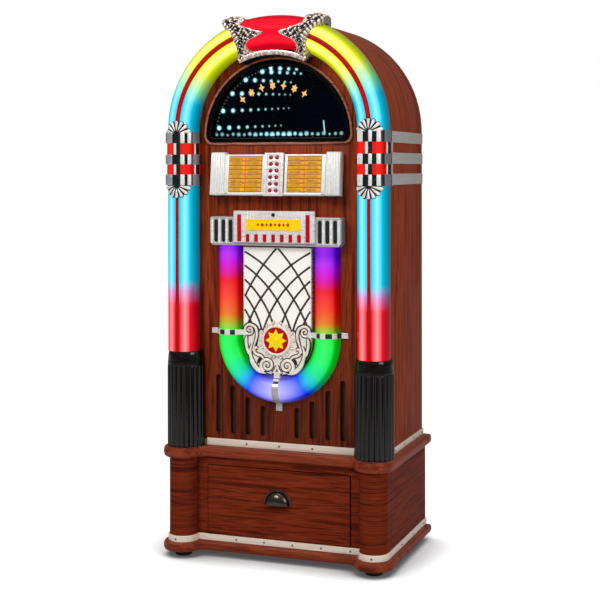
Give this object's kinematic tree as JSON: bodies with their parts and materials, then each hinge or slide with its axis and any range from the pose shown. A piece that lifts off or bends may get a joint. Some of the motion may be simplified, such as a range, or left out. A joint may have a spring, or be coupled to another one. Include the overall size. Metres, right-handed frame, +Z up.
{
  "type": "jukebox",
  "caption": "Free-standing arch-top jukebox with lit tubes, a mirror window, title rack with push-buttons, loudspeaker grille and a storage stand with a drawer.",
  "frame": {"origin": "middle of the footprint, on the floor", "axes": "+Z up, the front faces -Y, +X is on the right of someone facing the front"},
  "size_m": [0.6334, 0.4244, 1.424],
  "materials": {
    "cherry_wood": "satin lacquered cherry, straight grain",
    "cherry_panel": "satin lacquered cherry, figured grain",
    "black_gloss": "gloss black moulding",
    "smoked_glass": "half-silvered smoked glass",
    "mirror": "silvered dish with small white lamps round the rim",
    "lit_acrylic": "translucent colour-changing light tube",
    "red_acrylic": "translucent red, lit from inside",
    "circuit_board": "lamp strip",
    "chrome": "bright ribbed chrome",
    "antique_silver": "cast scrollwork, aged silver",
    "black_plastic": "fluted black",
    "amber_card": "back-lit amber title strips",
    "red_plastic": "dark red push-button",
    "pearl_mesh": "pearl white",
    "speaker_cloth": "dark woven cloth",
    "cream_metal": "satin cream metal strip",
    "dark_bronze": "dark bronze",
    "foot_rubber": "matt black",
    "fibreboard": "raw fibreboard",
    "speaker_cone": "pressed frame and paper cone",
    "steel": "zinc-plated sheet"
  },
  "bodies": {
    "body": {"cabinet_shell": "cherry_wood", "front_panel": "cherry_panel", "back_panel": "fibreboard", "window_bezel": "black_gloss", "window_glass": "smoked_glass", "mirror_tray": "mirror", "light_tube_left": "lit_acrylic", "light_tube_right": "lit_acrylic", "light_strip": "circuit_board", "crown_lens": "red_acrylic", "crown_casting": "antique_silver", "grip_left": "chrome", "grip_right": "chrome", "grip_lens_left": "red_acrylic", "grip_lens_right": "red_acrylic", "column_left": "black_plastic", "column_right": "black_plastic", "title_frame": "chrome", "title_sheet": "amber_card", "selector_plate": "pearl_mesh", "vent_bar": "chrome", "control_plate": "chrome", "u_tube": "lit_acrylic", "grille": "pearl_mesh", "grille_casting": "antique_silver", "speaker_cloth": "speaker_cloth", "speaker_left": "speaker_cone", "speaker_right": "speaker_cone", "amplifier": "steel", "mains_inlet": "black_gloss", "upper_trim": "cream_metal", "lower_trim": "cream_metal", "stand_top": "cherry_wood", "stand_bottom": "cherry_wood", "stand_side_left": "cherry_wood", "stand_side_right": "cherry_wood", "stand_back": "fibreboard", "face_frame": "cherry_wood", "runner_left": "steel", "runner_right": "steel", "foot_front_left": "foot_rubber", "foot_front_right": "foot_rubber", "foot_back_left": "foot_rubber", "foot_back_right": "foot_rubber"},
    "drawer": {"drawer_front": "cherry_panel", "drawer_box": "fibreboard", "cup_pull": "dark_bronze"},
    "selector_button_01": {"selector_button_01": "red_plastic"},
    "selector_button_02": {"selector_button_02": "red_plastic"},
    "selector_button_03": {"selector_button_03": "red_plastic"},
    "selector_button_04": {"selector_button_04": "red_plastic"},
    "selector_button_05": {"selector_button_05": "red_plastic"},
    "selector_button_06": {"selector_button_06": "red_plastic"},
    "selector_button_07": {"selector_button_07": "red_plastic"},
    "selector_button_08": {"selector_button_08": "red_plastic"},
    "selector_button_09": {"selector_button_09": "red_plastic"},
    "selector_button_10": {"selector_button_10": "red_plastic"},
    "selector_button_11": {"selector_button_11": "red_plastic"},
    "selector_button_12": {"selector_button_12": "red_plastic"}
  },
  "joints": [
    {"name": "drawer_slide", "type": "slide", "parent": "body", "child": "drawer", "axis": [0, -1, 0], "range_m": [0, 0.24]},
    {"name": "press_01", "type": "slide", "parent": "body", "child": "selector_button_01", "axis": [0, 0.9929, -0.1193], "range_m": [0, 0.0015], "stiffness_N_per_m": 150},
    {"name": "press_02", "type": "slide", "parent": "body", "child": "selector_button_02", "axis": [0, 0.9929, -0.1193], "range_m": [0, 0.0015], "stiffness_N_per_m": 150},
    {"name": "press_03", "type": "slide", "parent": "body", "child": "selector_button_03", "axis": [0, 0.9929, -0.1193], "range_m": [0, 0.0015], "stiffness_N_per_m": 150},
    {"name": "press_04", "type": "slide", "parent": "body", "child": "selector_button_04", "axis": [0, 0.9929, -0.1193], "range_m": [0, 0.0015], "stiffness_N_per_m": 150},
    {"name": "press_05", "type": "slide", "parent": "body", "child": "selector_button_05", "axis": [0, 0.9929, -0.1193], "range_m": [0, 0.0015], "stiffness_N_per_m": 150},
    {"name": "press_06", "type": "slide", "parent": "body", "child": "selector_button_06", "axis": [0, 0.9929, -0.1193], "range_m": [0, 0.0015], "stiffness_N_per_m": 150},
    {"name": "press_07", "type": "slide", "parent": "body", "child": "selector_button_07", "axis": [0, 0.9929, -0.1193], "range_m": [0, 0.0015], "stiffness_N_per_m": 150},
    {"name": "press_08", "type": "slide", "parent": "body", "child": "selector_button_08", "axis": [0, 0.9929, -0.1193], "range_m": [0, 0.0015], "stiffness_N_per_m": 150},
    {"name": "press_09", "type": "slide", "parent": "body", "child": "selector_button_09", "axis": [0, 0.9929, -0.1193], "range_m": [0, 0.0015], "stiffness_N_per_m": 150},
    {"name": "press_10", "type": "slide", "parent": "body", "child": "selector_button_10", "axis": [0, 0.9929, -0.1193], "range_m": [0, 0.0015], "stiffness_N_per_m": 150},
    {"name": "press_11", "type": "slide", "parent": "body", "child": "selector_button_11", "axis": [0, 0.9929, -0.1193], "range_m": [0, 0.0015], "stiffness_N_per_m": 150},
    {"name": "press_12", "type": "slide", "parent": "body", "child": "selector_button_12", "axis": [0, 0.9929, -0.1193], "range_m": [0, 0.0015], "stiffness_N_per_m": 150}
  ]
}
